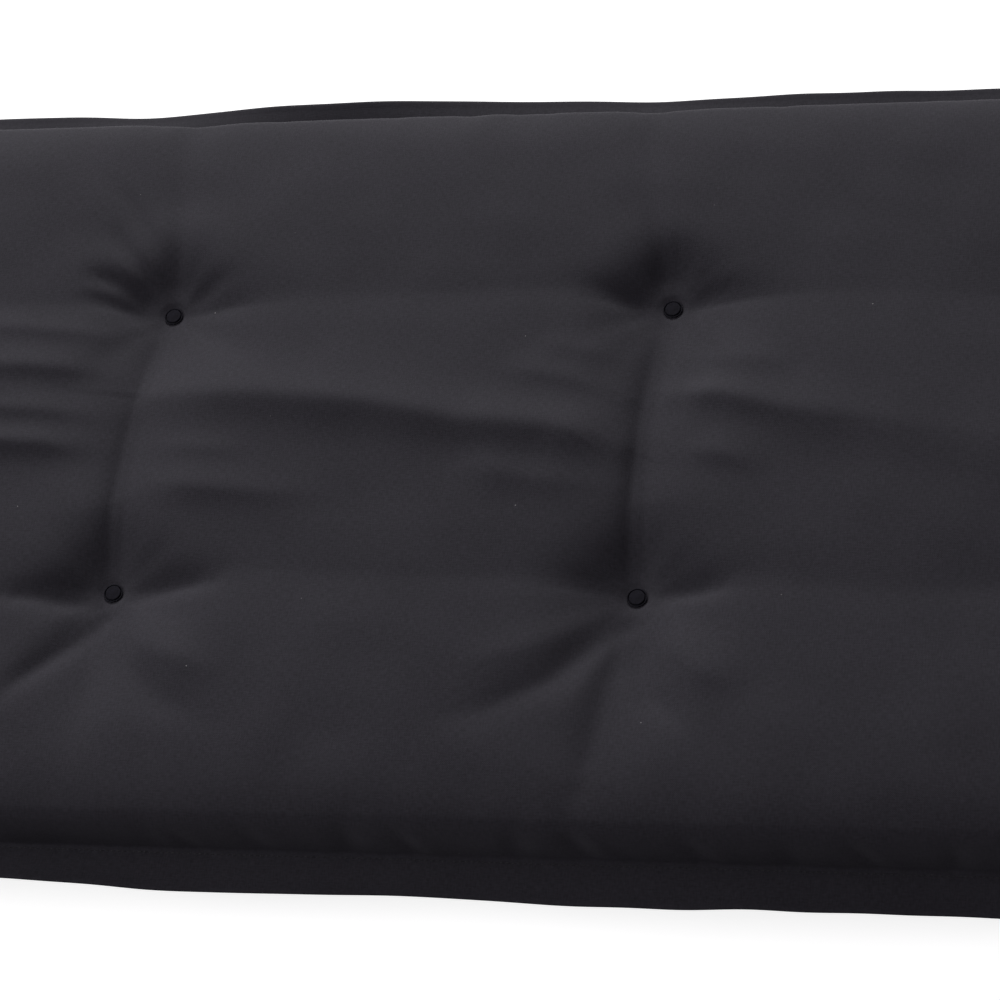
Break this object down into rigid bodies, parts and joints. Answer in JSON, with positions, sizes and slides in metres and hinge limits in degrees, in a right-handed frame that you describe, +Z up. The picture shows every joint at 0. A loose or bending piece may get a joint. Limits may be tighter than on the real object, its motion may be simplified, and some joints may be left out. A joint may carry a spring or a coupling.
{
  "type": "futon mattress",
  "caption": "Slim rectangular futon mattress: charcoal woven cover with a flat stitched flange, wadding over a foam core, tied through by fabric-covered tuft buttons.",
  "frame": {"origin": "centre of the footprint, on the floor plane that the lower panel rests on", "axes": "+X along the mattress's length, +Y across its width towards the rear row of tufts, +Z up from the floor"},
  "size_m": [2, 0.7, 0.0898],
  "materials": {
    "cover_fabric": "matt plain-woven cotton canvas, charcoal",
    "button_fabric": "the cover's charcoal cloth stretched over a button shell",
    "stitching_thread": "dull polyester sewing thread, near black",
    "wadding": "soft cotton and polyester wadding, off-white",
    "foam": "open-cell polyurethane foam, pale yellow",
    "tufting_twine": "waxed flax twine, natural",
    "button_metal": "zinc-plated pressed steel, dull"
  },
  "bodies": {
    "root": {"top_cover": "cover_fabric", "under_cover": "cover_fabric", "flange_stitching": "stitching_thread", "upper_wadding": "wadding", "lower_wadding": "wadding", "foam_core": "foam", "top_button_backs": "button_metal", "under_button_backs": "button_metal", "top_button_front_1": "button_fabric", "under_button_front_1": "button_fabric", "tuft_twine_front_1": "tufting_twine", "top_button_rear_1": "button_fabric", "under_button_rear_1": "button_fabric", "tuft_twine_rear_1": "tufting_twine", "top_button_front_2": "button_fabric", "under_button_front_2": "button_fabric", "tuft_twine_front_2": "tufting_twine", "top_button_rear_2": "button_fabric", "under_button_rear_2": "button_fabric", "tuft_twine_rear_2": "tufting_twine", "top_button_front_3": "button_fabric", "under_button_front_3": "button_fabric", "tuft_twine_front_3": "tufting_twine", "top_button_rear_3": "button_fabric", "under_button_rear_3": "button_fabric", "tuft_twine_rear_3": "tufting_twine", "top_button_front_4": "button_fabric", "under_button_front_4": "button_fabric", "tuft_twine_front_4": "tufting_twine", "top_button_rear_4": "button_fabric", "under_button_rear_4": "button_fabric", "tuft_twine_rear_4": "tufting_twine", "top_button_front_5": "button_fabric", "under_button_front_5": "button_fabric", "tuft_twine_front_5": "tufting_twine", "top_button_rear_5": "button_fabric", "under_button_rear_5": "button_fabric", "tuft_twine_rear_5": "tufting_twine"}
  },
  "joints": []
}
